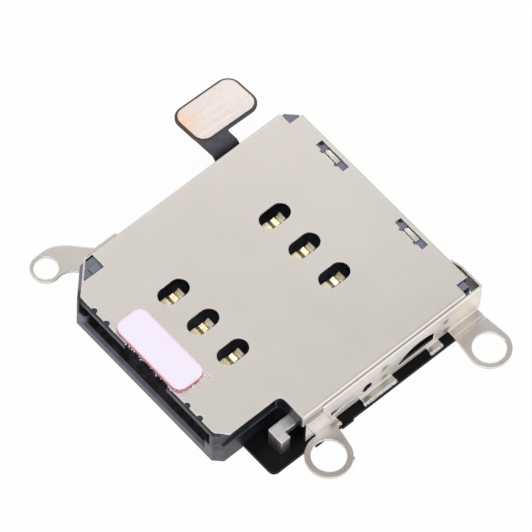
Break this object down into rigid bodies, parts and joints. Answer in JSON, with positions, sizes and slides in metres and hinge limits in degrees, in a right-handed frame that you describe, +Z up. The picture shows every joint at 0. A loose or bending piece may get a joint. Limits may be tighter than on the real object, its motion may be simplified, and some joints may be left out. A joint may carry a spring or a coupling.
{
  "type": "sim card reader flex cable",
  "caption": "Flat metal-shielded card reader on a black board, with a push rod ejector, screw ears on folded brackets, and a short flex neck to a board connector",
  "frame": {"origin": "Under the middle of the six card contacts, on the flat underside that rests in the phone", "axes": "+X across the mouth to the side with two screw ears, +Y the way the card tray goes in, +Z up through the cover"},
  "size_m": [0.0243, 0.0182, 0.003],
  "materials": {
    "dark_plastic": "moulded dark slate plastic",
    "steel_sheet": "satin stamped sheet",
    "steel_bracket": "satin stamped sheet",
    "steel_rod": "plain",
    "gold_contact": "gold plated",
    "black_board": "matte laminate",
    "flex_film": "polyimide film",
    "white_plastic": "moulded",
    "adhesive": "double-sided tape",
    "liner": "coated release paper"
  },
  "bodies": {
    "reader": {"adhesive_pad": "adhesive", "base_housing": "dark_plastic", "board_stiffener": "black_board", "connector_housing": "white_plastic", "connector_nail_1": "gold_contact", "connector_nail_2": "gold_contact", "connector_pin_1": "gold_contact", "connector_pin_10": "gold_contact", "connector_pin_2": "gold_contact", "connector_pin_3": "gold_contact", "connector_pin_4": "gold_contact", "connector_pin_5": "gold_contact", "connector_pin_6": "gold_contact", "connector_pin_7": "gold_contact", "connector_pin_8": "gold_contact", "connector_pin_9": "gold_contact", "connector_stiffener": "steel_sheet", "contact_1": "gold_contact", "contact_2": "gold_contact", "contact_3": "gold_contact", "contact_4": "gold_contact", "contact_5": "gold_contact", "contact_6": "gold_contact", "cover_shield": "steel_sheet", "detect_blade": "gold_contact", "detect_terminal": "gold_contact", "flex_circuit": "flex_film", "left_bracket": "steel_bracket", "lever_pin": "steel_rod", "release_liner": "liner", "side_bracket": "steel_bracket", "upper_frame": "dark_plastic"},
    "ejector": {"eject_rod": "steel_rod"},
    "lever": {"eject_lever": "steel_rod"}
  },
  "joints": [
    {"name": "rod_slide", "type": "slide", "parent": "reader", "child": "ejector", "axis": [0, 1, 0], "range_m": [0, 0.0012]},
    {"name": "lever_pivot", "type": "hinge", "parent": "reader", "child": "lever", "pos_m": [0.0042, 0.00795, 0.00146], "axis": [0, 0, 1], "range_deg": [0, 21.5]}
  ],
  "couplings": [
    {"joint": "lever_pivot", "follows": "rod_slide", "rad_per_m": 312.5}
  ]
}
